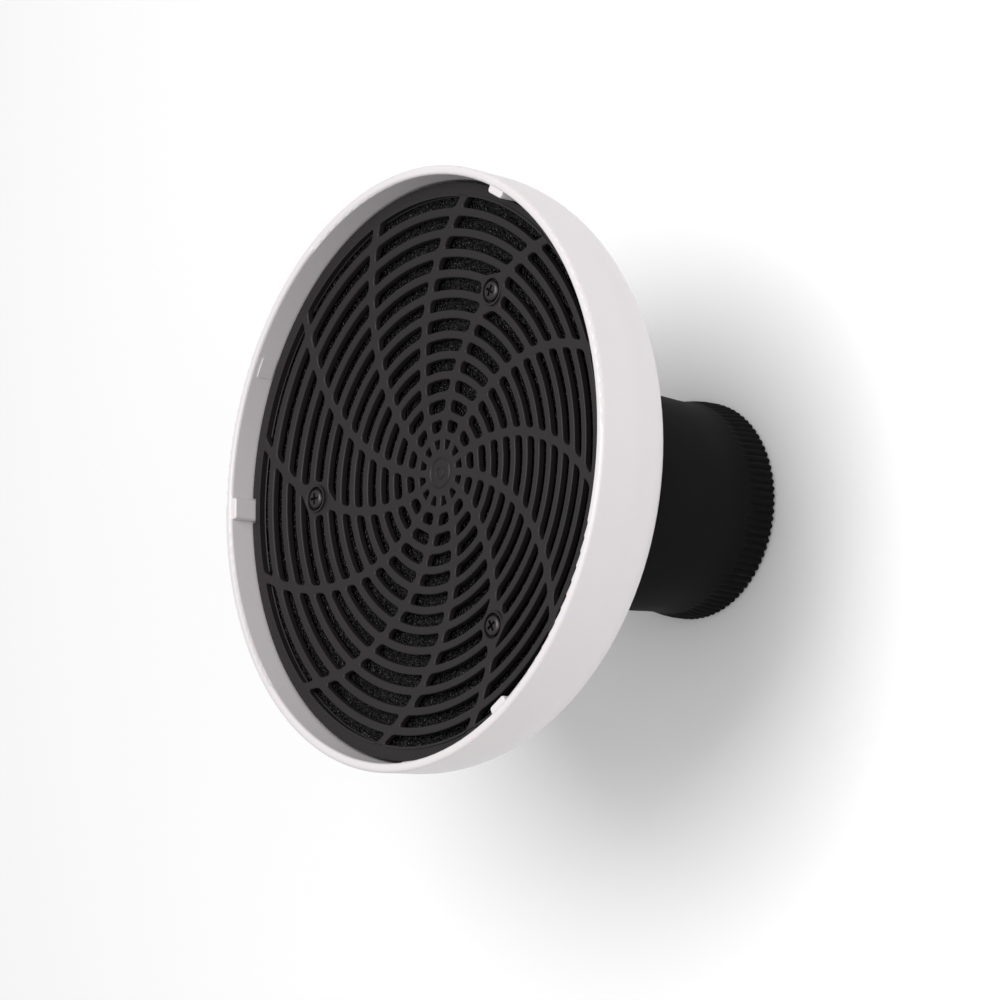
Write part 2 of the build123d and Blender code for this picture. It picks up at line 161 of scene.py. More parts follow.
class DiffuserSleeveSettings(bpy.types.PropertyGroup):
    """Shape and finish of the rubber neck sleeve"""

    tuck_radius: length("Tuck Radius", "Outer radius of the part inside the bowl", 29.0 * MM)
    tuck_gap: length("Tuck Gap", "Gap between the sleeve's shoulder and the bowl", 0.4 * MM)
    shoulder_radius: length("Shoulder Radius", "Outer radius next to the bowl", 31.9 * MM)
    shoulder_height: length("Shoulder Height", "Height at which the sleeve is that wide", 27.0 * MM)
    waist_radius: length("Waist Radius", "Outer radius of the smooth waist", 31.35 * MM)
    waist_height: length("Waist Height", "Height of the narrowest place", 14.0 * MM)
    socket_radius: length("Socket Radius", "Radius of the dryer socket", 25.0 * MM)
    lead_in: length("Lead-in", "Extra radius at the socket's mouth", 2.2 * MM)
    lead_height: length("Lead-in Height", "Height of the socket's lead-in", 2.6 * MM)
    band: length("Straight Band", "Straight part at the end, below the flare", 4.0 * MM)
    end_round: length("End Rounding", "Rounding of the open end", 1.4 * MM)
    knurl_count: IntProperty(name="Knurls", description="Number of axial ridges", default=90)
    knurl_depth: length("Knurl Depth", "Depth of the grooves between the ridges", 0.75 * MM)
    knurl_length: length("Knurl Length", "Length of the ridges from the open end", 11.8 * MM)
    knurl_run_out: amount("Run-out", "Share of the ridges' length over which they fade", 0.35)
    steps_per_knurl: IntProperty(name="Steps", description="Mesh steps across one ridge", default=8)
    base: colour("Colour", "Colour of the rubber", "#090909")


class DiffuserFittingSettings(bpy.types.PropertyGroup):
    """Finish of the screws and the inner plastic pieces"""

    inner: colour("Inner Plastic", "Colour of the hidden plastic pieces", "#2B2A2B")
    black_steel: colour("Black Steel", "Colour of the blackened screws", "#4A4647")
    zinc: colour("Zinc", "Colour of the zinc plating", "#C9CBCC")


class DiffuserStageSettings(bpy.types.PropertyGroup):
    """Floor, lights and camera"""

    floor: colour("Floor Colour", "Colour of the pale floor", "#F6F6F6")
    azimuth: swing("Azimuth", "Camera's turn round the object", -13.4)
    elevation: swing("Elevation", "Camera's height angle", 38.71)
    roll: swing("Roll", "Camera's turn about its own line of sight", -81.79)
    distance: length("Distance", "Camera to the middle of the lip", 1.0)
    aim_right: length("Aim Right", "Picture's middle, right of the lip's middle", 27.36 * MM)
    aim_up: length("Aim Up", "Picture's middle, above the lip's middle", -9.17 * MM)
    lens: amount("Lens", "Focal length in millimetres", 129.52)
    key_power: amount("Key Power", "Power of the overhead softbox in watts", 13)
    front_power: amount("Front Power", "Power of the front softbox in watts", 4)
    softbox: length("Softbox", "Width of each softbox", 0.9)
    world: amount("World Light", "Strength of the even fill light", 0.5)


# ---- Small helpers --------------------------------------------------------------------
def linear(hex_colour):
    """sRGB hex colour as linear RGBA."""
    channels = [int(hex_colour[i : i + 2], 16) / 255 for i in (1, 3, 5)]
    return [c / 12.92 if c <= 0.04045 else ((c + 0.055) / 1.055) ** 2.4 for c in channels] + [1.0]


def per(size):
    """Texture scale whose features are this large, in metres."""
    return 1 / size


def add_node(tree, kind, inputs=None, links=None, **attributes):
    """Adds a shader node with its attributes, its input values and its incoming links."""
    node = tree.nodes.new(kind)
    for key, value in attributes.items():
        setattr(node, key, value)
    for key, value in (inputs or {}).items():
        node.inputs[key].default_value = value
    for key, socket in (links or {}).items():
        tree.links.new(socket, node.inputs[key])
    return node


def new_material(name):
    """Material with its nodes cleared and its object coordinates ready."""
    material = bpy.data.materials.new(name)
    material.use_nodes = True
    tree = material.node_tree
    tree.nodes.clear()
    coordinates = add_node(tree, "ShaderNodeTexCoord").outputs["Object"]
    return material, tree, coordinates


def finish_material(tree, shader):
    add_node(tree, "ShaderNodeOutputMaterial", links={"Surface": shader.outputs[0]})


def dress(obj, material):
    """Puts one material on every slot of a piece."""
    if not obj.data.materials:
        obj.data.materials.append(material)
    for i in range(len(obj.data.materials)):
        obj.data.materials[i] = material


def new_piece(name, bm, material, body, replaced, sharp_angle=40):
    """Turns a bmesh into a finished piece that stands for a CAD node."""
    mesh = bpy.data.meshes.new(name)
    bm.to_mesh(mesh)
    bm.free()
    mesh.shade_smooth()
    mesh.set_sharp_from_angle(angle=radians(sharp_angle))
    piece = bpy.data.objects.new(name, mesh)
    bpy.context.scene.collection.objects.link(piece)
    dress(piece, material)
    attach(piece, body)
    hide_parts(replaced)
    return piece


def polar(radius, angle):
    return Vector((radius * cos(angle), radius * sin(angle), 0))


def arc(radius, start, end, step=3 * MM):
    """Points along an arc about the axis, both ends included."""
    count = max(2, round(abs(end - start) * radius / step) + 1)
    return [polar(radius, start + (end - start) * i / (count - 1)) for i in range(count)]


def circle(radius, centre=Vector(), count=96):
    return [centre + polar(radius, 2 * pi * i / count) for i in range(count)]


def round_corner(before, corner, after, points=6):
    """Points of a smooth turn that leaves and meets the outline at before and after."""
    handle_in = before.lerp(corner, ROUND_CORNER)
    handle_out = after.lerp(corner, ROUND_CORNER)
    return interpolate_bezier(before, handle_in, handle_out, after, points)


def cut_sheet(outlines, thickness, edge_round):
    """Flat sheet with rounded edges, its top at z 0. The first outline is its edge, the others are holes."""
    points, loops = [], []
    for outline in outlines:
        loops.append(list(range(len(points), len(points) + len(outline))))
        points += [place.xy for place in outline]
    places, _, triangles, _, _, sources = delaunay_2d_cdt(points, [], loops, 1, 0.1 * MM * MM)
    bm = bmesh.new()
    verts = [bm.verts.new((*place, 0)) for place in places]
    for triangle, source in zip(triangles, sources):
        if source == [0]:
            bm.faces.new([verts[i] for i in triangle])
    bmesh.ops.delete(bm, geom=[v for v in bm.verts if not v.link_faces], context="VERTS")
    pulled = bmesh.ops.extrude_face_region(bm, geom=bm.faces[:])["geom"]
    low = [v for v in pulled if isinstance(v, bmesh.types.BMVert)]
    bmesh.ops.translate(bm, verts=low, vec=(0, 0, -thickness))
    bmesh.ops.recalc_face_normals(bm, faces=bm.faces)
    rims = [e for e in bm.edges if e.calc_face_angle(0) > radians(60)]
    bmesh.ops.bevel(
        bm,
        geom=rims,
        offset=edge_round,
        offset_type="OFFSET",
        profile_type="SUPERELLIPSE",
        affect="EDGES",
        segments=3,
        profile=0.5,
        clamp_overlap=False,
        loop_slide=False,
        material=-1,
    )
    return bm


def lathe(profile, steps, centre=Vector()):
    """Closed solid of revolution about a vertical line from a closed list of (radius, height) points."""
    bm = bmesh.new()
    verts = [bm.verts.new(centre + Vector((r, 0, z))) for r, z in profile]
    edges = [bm.edges.new((a, b)) for a, b in zip(verts, verts[1:] + verts[:1])]
    bmesh.ops.spin(
        bm, geom=verts + edges, cent=centre, axis=(0, 0, 1), angle=2 * pi, steps=steps, use_merge=True
    )
    bmesh.ops.remove_doubles(bm, verts=bm.verts, dist=0.002 * MM)
    bmesh.ops.recalc_face_normals(bm, faces=bm.faces)
    return bm


def add_part(bm, part):
    """Adds a second bmesh to the first."""
    mesh = bpy.data.meshes.new("part")
    part.to_mesh(mesh)
    part.free()
    bm.from_mesh(mesh)
    bpy.data.meshes.remove(mesh)


# ---- Materials ------------------------------------------------------------------------
def moulded_abs():
    """White ABS from a finely textured mould: an even satin with a soft, slightly uneven gloss."""
    s = bpy.context.scene.diffuser_bowl
    material, tree, place = new_material("moulded_white_abs")
    flow = add_node(
        tree, "ShaderNodeTexNoise", {"Scale": per(40 * MM), "Detail": 3.0}, {"Vector": place}
    )
    tint = add_node(
        tree,
        "ShaderNodeMix",
        {6: linear(s.base), 7: linear("#D9D5D6")},
        {0: flow.outputs["Fac"]},
        data_type="RGBA",
    )
    gloss = add_node(
        tree,
        "ShaderNodeMapRange",
        {"To Min": s.roughness - 0.05, "To Max": s.roughness + 0.05},
        {"Value": flow.outputs["Fac"]},
    )
    grain = add_node(
        tree,
        "ShaderNodeTexNoise",
        {"Scale": per(s.grain), "Detail": 4.0, "Roughness": 0.6},
        {"Vector": place},
    )
    bump = add_node(
        tree, "ShaderNodeBump", {"Strength": 0.25, "Distance": 0.03 * MM}, {"Height": grain.outputs["Fac"]}
    )
    shader = add_node(
        tree,
        "ShaderNodeBsdfPrincipled",
        {"IOR": 1.53, "Subsurface Weight": 0.08, "Subsurface Scale": 1.2 * MM},
        {"Base Color": tint.outputs[2], "Roughness": gloss.outputs[0], "Normal": bump.outputs[0]},
    )
    finish_material(tree, shader)
    return material


def moulded_black(name, base, roughness, grain_size):
    """Black moulded plastic: warm dark grey, satin, with the mould's fine grain and faint flow marks."""
    material, tree, place = new_material(name)
    flow = add_node(
        tree, "ShaderNodeTexNoise", {"Scale": per(22 * MM), "Detail": 4.0}, {"Vector": place}
    )
    shade = add_node(
        tree, "ShaderNodeMapRange", {"To Min": 0.86, "To Max": 1.14}, {"Value": flow.outputs["Fac"]}
    )
    tint = add_node(
        tree,
        "ShaderNodeVectorMath",
        {0: linear(base)[:3]},
        {1: shade.outputs[0]},
        operation="MULTIPLY",
    )
    grain = add_node(
        tree,
        "ShaderNodeTexNoise",
        {"Scale": per(grain_size), "Detail": 3.0, "Roughness": 0.65},
        {"Vector": place},
    )
    gloss = add_node(
        tree,
        "ShaderNodeMapRange",
        {"To Min": roughness - 0.06, "To Max": roughness + 0.08},
        {"Value": grain.outputs["Fac"]},
    )
    bump = add_node(
        tree, "ShaderNodeBump", {"Strength": 0.35, "Distance": 0.04 * MM}, {"Height": grain.outputs["Fac"]}
    )
    shader = add_node(
        tree,
        "ShaderNodeBsdfPrincipled",
        {"IOR": 1.49, "Specular IOR Level": 0.3},
        {"Base Color": tint.outputs[0], "Roughness": gloss.outputs[0], "Normal": bump.outputs[0]},
    )
    finish_material(tree, shader)
    return material


def open_cell_foam():
    """Black reticulated foam: thin, slightly shiny strands that glint here and there, with painted shade
    darkening the open cells between them.
    """
    s = bpy.context.scene.diffuser_foam
    material, tree, place = new_material("open_cell_polyurethane_foam")
    cells = add_node(
        tree,
        "ShaderNodeTexVoronoi",
        {"Scale": per(s.cell)},
        {"Vector": place},
        feature="DISTANCE_TO_EDGE",
    )
    # Painted shade: this mask is 1 on the strands and falls to 0 in the cells' middles, which get the darker
    # pore colour as painted shade; it also drives the bump.
    strands_and_pore_shade = add_node(
        tree,
        "ShaderNodeMapRange",
        {"From Min": 0.02, "From Max": 0.24, "To Min": 1.0, "To Max": 0.0},
        {"Value": cells.outputs["Distance"]},
    )
    tint = add_node(
        tree,
        "ShaderNodeMix",
        {6: linear(s.pore_shade), 7: linear(s.strand)},
        {0: strands_and_pore_shade.outputs[0]},
        data_type="RGBA",
    )
    fine = add_node(
        tree, "ShaderNodeTexNoise", {"Scale": per(0.5 * MM), "Detail": 2.0}, {"Vector": place}
    )
    height = add_node(
        tree,
        "ShaderNodeMath",
        {},
        {0: strands_and_pore_shade.outputs[0], 1: fine.outputs["Fac"]},
        operation="MULTIPLY",
    )
    bump = add_node(
        tree, "ShaderNodeBump", {"Strength": 1.0, "Distance": 0.5 * MM}, {"Height": height.outputs[0]}
    )
    shader = add_node(
        tree,
        "ShaderNodeBsdfPrincipled",
        {"IOR": 1.5, "Roughness": 0.3, "Specular IOR Level": 0.22},
        {"Base Color": tint.outputs[2], "Normal": bump.outputs[0]},
    )
    finish_material(tree, shader)
    return material


def moulded_rubber():
    """Moulded black rubber: almost no gloss, a dry fine-grained skin and a faint dusty sheen."""
    s = bpy.context.scene.diffuser_sleeve
    material, tree, place = new_material("moulded_black_rubber")
    bloom = add_node(
        tree, "ShaderNodeTexNoise", {"Scale": per(14 * MM), "Detail": 5.0}, {"Vector": place}
    )
    tint = add_node(
        tree,
        "ShaderNodeMix",
        {6: linear(s.base), 7: linear("#0D0D0D")},
        {0: bloom.outputs["Fac"]},
        data_type="RGBA",
    )
    grain = add_node(
        tree,
        "ShaderNodeTexNoise",
        {"Scale": per(0.3 * MM), "Detail": 3.0, "Roughness": 0.7},
        {"Vector": place},
    )
    bump = add_node(
        tree, "ShaderNodeBump", {"Strength": 0.4, "Distance": 0.05 * MM}, {"Height": grain.outputs["Fac"]}
    )
    gloss = add_node(
        tree, "ShaderNodeMapRange", {"To Min": 0.7, "To Max": 0.88}, {"Value": bloom.outputs["Fac"]}
    )
    shader = add_node(
        tree,
        "ShaderNodeBsdfPrincipled",
        {"IOR": 1.45, "Specular IOR Level": 0.16, "Sheen Weight": 0.01, "Sheen Roughness": 0.5},
        {"Base Color": tint.outputs[2], "Roughness": gloss.outputs[0], "Normal": bump.outputs[0]},
    )
    finish_material(tree, shader)
    return material


def plated_steel(name, base, roughness):
    """Plated steel screw: a thin even plating with fine rolled scratches."""
    material, tree, place = new_material(name)
    scratches = add_node(
        tree, "ShaderNodeTexNoise", {"Scale": per(0.4 * MM), "Detail": 4.0}, {"Vector": place}
    )
    gloss = add_node(
        tree,
        "ShaderNodeMapRange",
        {"To Min": roughness - 0.08, "To Max": roughness + 0.1},
        {"Value": scratches.outputs["Fac"]},
    )
    bump = add_node(
        tree, "ShaderNodeBump", {"Strength": 0.2, "Distance": 0.02 * MM}, {"Height": scratches.outputs["Fac"]}
    )
    shader = add_node(
        tree,
        "ShaderNodeBsdfPrincipled",
        {"Base Color": linear(base), "Metallic": 1.0},
        {"Roughness": gloss.outputs[0], "Normal": bump.outputs[0]},
    )
    finish_material(tree, shader)
    return material


def painted_floor():
    """Matt painted studio floor with a barely visible roller texture."""
    s = bpy.context.scene.diffuser_stage
    material, tree, place = new_material("painted_studio_floor")
    roller = add_node(
        tree, "ShaderNodeTexNoise", {"Scale": per(60 * MM), "Detail": 3.0}, {"Vector": place}
    )
    gloss = add_node(
        tree, "ShaderNodeMapRange", {"To Min": 0.85, "To Max": 0.95}, {"Value": roller.outputs["Fac"]}
    )
    shader = add_node(
        tree,
        "ShaderNodeBsdfPrincipled",
        {"Base Color": linear(s.floor), "Specular IOR Level": 0.1},
        {"Roughness": gloss.outputs[0]},
    )
    finish_material(tree, shader)
    return material


# ---- Grille ---------------------------------------------------------------------------
def dish_radius():
    s = bpy.context.scene.diffuser_grille
    edge = GRILLE_RADIUS - s.border_width
    return (edge**2 + s.dish_depth**2) / (2 * s.dish_depth)


def dish_height(radius, offset=0.0):
    """Height of the dished surface that lies offset behind the grille's face."""
    s = bpy.context.scene.diffuser_grille
    hub = GRILLE_HIGH.z - s.dish_depth
    return hub + dish_radius() - sqrt((dish_radius() + offset) ** 2 - radius**2)


def bend_to_dish(bm, offset=0.0):
    """Moves a flat sheet, its top at z 0, onto the dished surface."""
    for v in bm.verts:
        v.co.z += dish_height(v.co.xy.length, offset)


def rib_edge(rib, side, radius):
    """Angle at which one side (-1 or 1) of a rib crosses this radius."""
    s = bpy.context.scene.diffuser_grille
    leaves_hub = pi / 2 + asin(SCREW_CIRCLE / (2 * s.rib_arc)) + 2 * pi / s.rib_count * rib
    edge_arc = s.rib_arc + side * s.rib_width / 2
    turn = acos((s.rib_arc**2 + radius**2 - edge_arc**2) / (2 * s.rib_arc * radius))
    return leaves_hub - pi / 2 + turn


def pad_edge(rib, side, radius):
    """Angle of one side of the screw pad on a rib at this radius, or None where the pad doesn't reach."""
    s = bpy.context.scene.diffuser_grille
    ring = SCREW_CIRCLE
    ratio = (ring**2 + radius**2 - s.pad_radius**2) / (2 * ring * radius)
    if rib % (s.rib_count // 3) or ratio >= 1:
        return None
    return pi / 2 + 2 * pi / s.rib_count * rib + side * acos(ratio)


def slot_outline(inner, outer, start, end, corner):
    """Outline of one slot between two radii; start and end give its end angles at a radius."""
    def along_end(limit, radius, other_radius):
        there = polar(radius, limit(radius))
        back = polar(other_radius, limit(other_radius))
        return there + (back - there).normalized() * corner

    def turn(limit, radius, other_radius, way):
        on_arc = polar(radius, limit(radius) + way * corner / radius)
        return on_arc, polar(radius, limit(radius)), along_end(limit, radius, other_radius)

    points = []
    on_arc, tip, on_end = turn(end, outer, inner, -1)
    points += arc(outer, start(outer) + corner / outer, end(outer) - corner / outer)[:-1]
    points += round_corner(on_arc, tip, on_end)
    on_arc, tip, on_end = turn(end, inner, outer, -1)
    points += round_corner(on_end, tip, on_arc)
    points += arc(inner, end(inner) - corner / inner, start(inner) + corner / inner)[1:-1]
    on_arc, tip, on_end = turn(start, inner, outer, 1)
    points += round_corner(on_arc, tip, on_end)
    on_arc, tip, on_end = turn(start, outer, inner, 1)
    points += round_corner(on_end, tip, on_arc)[:-1]
    return points


def slot_outlines():
    """Outlines of all the slots and of the small holes round the hub."""
    s = bpy.context.scene.diffuser_grille
    hub_middle = (s.hub_hole_inner + s.hub_hole_outer) / 2
    outlines = []
    for rib in range(s.rib_count):
        def start(radius, rib=rib):
            edges = [rib_edge(rib, 1, radius), pad_edge(rib, 1, radius)]
            return max(e for e in edges if e is not None)

        def end(radius, rib=rib + 1):
            edges = [rib_edge(rib, -1, radius), pad_edge(rib, -1, radius)]
            return min(e for e in edges if e is not None)

        for ring in range(s.ring_count):
            middle = s.first_ring + s.ring_pitch * ring
            inner = middle - s.slot_width / 2
            outer = middle + s.slot_width / 2
            outlines.append(slot_outline(inner, outer, start, end, s.slot_corner))

        spoke = (rib_edge(rib, -1, hub_middle) + rib_edge(rib, 1, hub_middle)) / 2

        def hole_start(radius, spoke=spoke):
            return spoke + asin(s.hub_spoke / 2 / radius)

        def hole_end(radius, spoke=spoke):
            return spoke + 2 * pi / s.rib_count - asin(s.hub_spoke / 2 / radius)

        outlines.append(slot_outline(s.hub_hole_inner, s.hub_hole_outer, hole_start, hole_end, s.hub_corner))
    return outlines


def notched_outline(radius):
    """Round outline with a square notch for each key of the bowl."""
    s = bpy.context.scene.diffuser_grille
    half = asin(s.notch_width / 2 / radius)
    depth = radius - s.notch_depth
    inner_half = asin(s.notch_width / 2 / depth)
    points = []
    for angle in SCREW_ANGLES:
        points += arc(depth, angle - inner_half, angle + inner_half, 1 * MM)
        points += arc(radius, angle + half, angle + THIRD - half)
    return points


def screw_seat(angle):
    """Raised rim, recess and boss that hold one screw head."""
    s = bpy.context.scene.diffuser_grille
    face = dish_height(SCREW_CIRCLE)
    floor = face - s.recess_depth
    top = face + s.raised
    rim = s.recess_radius + s.rim_width
    soft = 0.2 * MM
    profile = [
        (s.screw_hole, floor),
        (s.recess_radius - soft, floor),
        (s.recess_radius, floor + soft),
        (s.recess_radius, top - soft),
        (s.recess_radius + soft / 2, top - soft / 4),
        (s.recess_radius + s.rim_width / 2, top),
        (rim - soft / 2, top - soft / 4),
        (rim, top - soft),
        (rim, face - s.thickness - s.recess_depth),
        (s.boss_radius, face - s.thickness - s.recess_depth),
        (s.boss_radius, GRILLE_LOW.z),
        (s.screw_hole, GRILLE_LOW.z),
    ]
    return lathe(profile, 48, polar(SCREW_CIRCLE, angle))


def hub_ring():
    """Thin raised ring on the hub with rounded top."""
    s = bpy.context.scene.diffuser_grille
    face = dish_height(0)
    half = 0.35 * MM
    profile = [
        (s.hub_ring - 2 * half, face - s.raised),
        (s.hub_ring - 2 * half, face + s.raised / 3),
        (s.hub_ring - half, face + s.raised),
        (s.hub_ring, face + s.raised / 3),
        (s.hub_ring, face - s.raised),
    ]
    return lathe(profile, 64)


def gate_mark():
    """Round mark left by the mould's gate: a shallow raised ring."""
    s = bpy.context.scene.diffuser_grille
    face = dish_height(0)
    profile = [
        (s.hub_mark - 0.5 * MM, face - s.raised),
        (s.hub_mark - 0.5 * MM, face + s.raised / 2),
        (s.hub_mark - 0.25 * MM, face + s.raised * 0.8),
        (s.hub_mark, face + s.raised / 2),
        (s.hub_mark, face - s.raised),
    ]
    return lathe(profile, 32)


class DIFFUSER_OT_grille(bpy.types.Operator):
    """Builds the dished grille with its rounded bars, border, skirt and screw seats"""

    bl_idname = "diffuser.grille"
    bl_label = "Grille"

    def execute(self, context):
        s = context.scene.diffuser_grille
        edge = GRILLE_RADIUS - s.border_width
        seats = [circle(s.boss_radius, polar(SCREW_CIRCLE, a), 32) for a in SCREW_ANGLES]
        outlines = [circle(edge, count=288)] + slot_outlines() + seats
        bm = cut_sheet(outlines, s.thickness, s.edge_round)
        bend_to_dish(bm)

        overlap = 0.1 * MM
        border_top = GRILLE_HIGH.z - s.border_step
        hidden = s.border_thickness - s.edge_round      # part of the skirt's height inside the border
        sheets = [
            (edge - overlap, border_top, s.border_thickness),
            (GRILLE_RADIUS - s.skirt_wall, border_top - hidden, s.skirt_depth - hidden),
        ]
        for inner, top, thickness in sheets:
            rings = [notched_outline(GRILLE_RADIUS), circle(inner, count=192)]
            sheet = cut_sheet(rings, thickness, s.edge_round / 2)
            bmesh.ops.translate(sheet, verts=sheet.verts, vec=(0, 0, top))
            add_part(bm, sheet)
        for angle in SCREW_ANGLES:
            add_part(bm, screw_seat(angle))
        add_part(bm, hub_ring())
        add_part(bm, gate_mark())
        material = moulded_black("moulded_black_polypropylene", s.base, 0.46, 0.35 * MM)
        grille = new_piece("grille", bm, material, "grille_body", "front_grille")
        weigh = grille.modifiers.new("even_normals", "WEIGHTED_NORMAL")
        weigh.keep_sharp = True
        return {"FINISHED"}


# ---- Foam -----------------------------------------------------------------------------
class DIFFUSER_OT_foam(bpy.types.Operator):
    """Builds the foam disc with open cells all over its surface"""

    bl_idname = "diffuser.foam"
    bl_label = "Foam"

    def execute(self, context):
        s = context.scene.diffuser_foam
        radius = (FOAM_HIGH.x - FOAM_LOW.x) / 2
        holes = [circle(s.hole_radius, polar(SCREW_CIRCLE, a), 48) for a in SCREW_ANGLES]
        bm = cut_sheet([circle(radius, count=240)] + holes, s.thickness, s.edge_round)
        mesh = bpy.data.meshes.new("foam")
        bm.to_mesh(mesh)
        bm.free()
        blank = bpy.data.objects.new("foam_blank", mesh)
        context.scene.collection.objects.link(blank)
        remesh = blank.modifiers.new("even_faces", "REMESH")
        remesh.mode = "VOXEL"
        remesh.voxel_size = s.voxel
        context.view_layer.update()
        fine = bpy.data.meshes.new_from_object(blank.evaluated_get(context.evaluated_depsgraph_get()))
        bpy.data.objects.remove(blank)

        bm = bmesh.new()
        bm.from_mesh(fine)
        bm.normal_update()
        top_offset = dish_offset_of(FOAM_HIGH.z, radius)
        for v in bm.verts:
            near, far = noise.voronoi(v.co / s.cell)[0][:2]
            pit = min(1.0, (far - near) * s.pit_slope)
            v.co -= v.normal * s.pit_depth * pit
        bend_to_dish(bm, top_offset)
        foam = new_piece("foam", bm, open_cell_foam(), "foam_body", "foam_disc", 180)
        return {"FINISHED"}


def dish_offset_of(height, radius):
    """How far behind the grille's face the dished surface through this height and radius lies."""
    s = bpy.context.scene.diffuser_grille
    hub = GRILLE_HIGH.z - s.dish_depth
    return sqrt((hub + dish_radius() - height) ** 2 + radius**2) - dish_radius()


# ---- Neck sleeve ----------------------------------------------------------------------
def sleeve_profile():
    """Closed half outline of the sleeve as (radius, height) points, fine along the knurls."""
    s = bpy.context.scene.diffuser_sleeve
    end_radius = (SLEEVE_HIGH.x - SLEEVE_LOW.x) / 2
    top = SLEEVE_HIGH.z
    shoulder_top = BOWL_LOW.z - s.tuck_gap
    bore = bore_over_core()
    inside = [
        (s.tuck_radius - 0.3 * MM, top),
        (bore + 0.3 * MM, top),
        (bore, top - 0.3 * MM),
        (bore, CORE_LOW.z),
        (s.socket_radius, CORE_LOW.z),
        (s.socket_radius, s.lead_height + 2 * MM),
        (s.socket_radius, s.lead_height),
        (s.socket_radius + s.lead_in - 0.4 * MM, 0.4 * MM),
        (s.socket_radius + s.lead_in + 0.2 * MM, 0),
    ]
    corner = [
        (end_radius - s.end_round * (1 - sin(t)), s.end_round * (1 - cos(t)))
        for t in [pi / 2 * i / 6 for i in range(7)]
    ]
    band = [(end_radius, s.end_round + (s.band - s.end_round) * i / 4) for i in range(1, 4)]
    turns = [(end_radius, s.band), (s.waist_radius, s.waist_height), (s.shoulder_radius, s.shoulder_height)]
    curve = []
    for (radius, height), (next_radius, next_height) in zip(turns, turns[1:]):
        reach = 0.4 * (next_height - height)
        curve += interpolate_bezier(
            Vector((radius, height)),
            Vector((radius, height + reach)),
            Vector((next_radius, next_height - reach)),
            Vector((next_radius, next_height)),
            18,
        )[1:]
    shoulder = [
        (s.shoulder_radius, shoulder_top - 0.6 * MM),
        (s.shoulder_radius - 0.2 * MM, shoulder_top - 0.2 * MM),
        (s.shoulder_radius - 0.6 * MM, shoulder_top),
        (s.tuck_radius, shoulder_top),
    ]
    start = [(end_radius, s.band)]
    outside = corner + band[:-1] + start + [tuple(p) for p in curve] + shoulder
    return inside + outside + [(s.tuck_radius, top - 0.3 * MM)]


def bore_over_core():
    """Inner radius of the sleeve where it grips the stiff core."""
    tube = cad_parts["neck_core"].data.vertices
    low = [v.co.xy.length for v in tube if v.co.z < CORE_LOW.z + 0.1 * MM]
    return max(low) + 0.05 * MM


class DIFFUSER_OT_sleeve(bpy.types.Operator):
    """Builds the rubber neck sleeve with its rounded knurls"""

    bl_idname = "diffuser.sleeve"
    bl_label = "Neck Sleeve"

    def execute(self, context):
        s = context.scene.diffuser_sleeve
        bm = lathe(sleeve_profile(), s.knurl_count * s.steps_per_knurl)
        for v in bm.verts:
            radius = v.co.xy.length
            if radius < s.waist_radius - 1 * MM or v.co.z > s.knurl_length:
                continue
            angle = Vector((1, 0)).angle_signed(v.co.xy)
            valley = 0.5 + 0.5 * cos(s.knurl_count * angle)
            run_out = (1 - v.co.z / s.knurl_length) / s.knurl_run_out
            fade = max(0.0, min(1.0, run_out))
            fade = fade * fade * (3 - 2 * fade)
            v.co.xy *= 1 - s.knurl_depth * fade * valley**1.3 / radius
        new_piece("sleeve", bm, moulded_rubber(), "neck_body", "neck_sleeve", 50)
        return {"FINISHED"}


# ---- Carried-over pieces ----------------------------------------------------------------
class DIFFUSER_OT_bowl(bpy.types.Operator):
    """Gives the bowl its white moulded ABS"""

    bl_idname = "diffuser.bowl"
    bl_label = "Bowl"

    def execute(self, context):
        dress(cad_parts["bowl"], moulded_abs())
        return {"FINISHED"}


class DIFFUSER_OT_fittings(bpy.types.Operator):
    """Gives the screws and the inner pieces their steel and black plastic"""

    bl_idname = "diffuser.fittings"
    bl_label = "Screws and Inner Pieces"

    def execute(self, context):
        s = context.scene.diffuser_fittings
        inner = moulded_black("moulded_black_abs", s.inner, 0.55, 0.5 * MM)
        for name in ("rear_grid", "air_deflector", "neck_core", "retaining_ring"):
            dress(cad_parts[name], inner)
        dress(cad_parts["grille_screws"], plated_steel("blackened_steel", s.black_steel, 0.4))
        zinc = plated_steel("zinc_plated_steel", s.zinc, 0.35)
        dress(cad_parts["deflector_screw"], zinc)
        dress(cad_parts["ring_screws"], zinc)
        return {"FINISHED"}


# ---- Stage ----------------------------------------------------------------------------
def softbox(name, size, place, target, power):
    """Square area light that faces the target."""
    light = bpy.data.lights.new(name, "AREA")
    light.shape = "SQUARE"
    light.size = size
    light.energy = power
    lamp = bpy.data.objects.new(name, light)
    lamp.location = place
    lamp.rotation_euler = (Vector(target) - Vector(place)).to_track_quat("-Z", "Y").to_euler()
    bpy.context.scene.collection.objects.link(lamp)
    return lamp


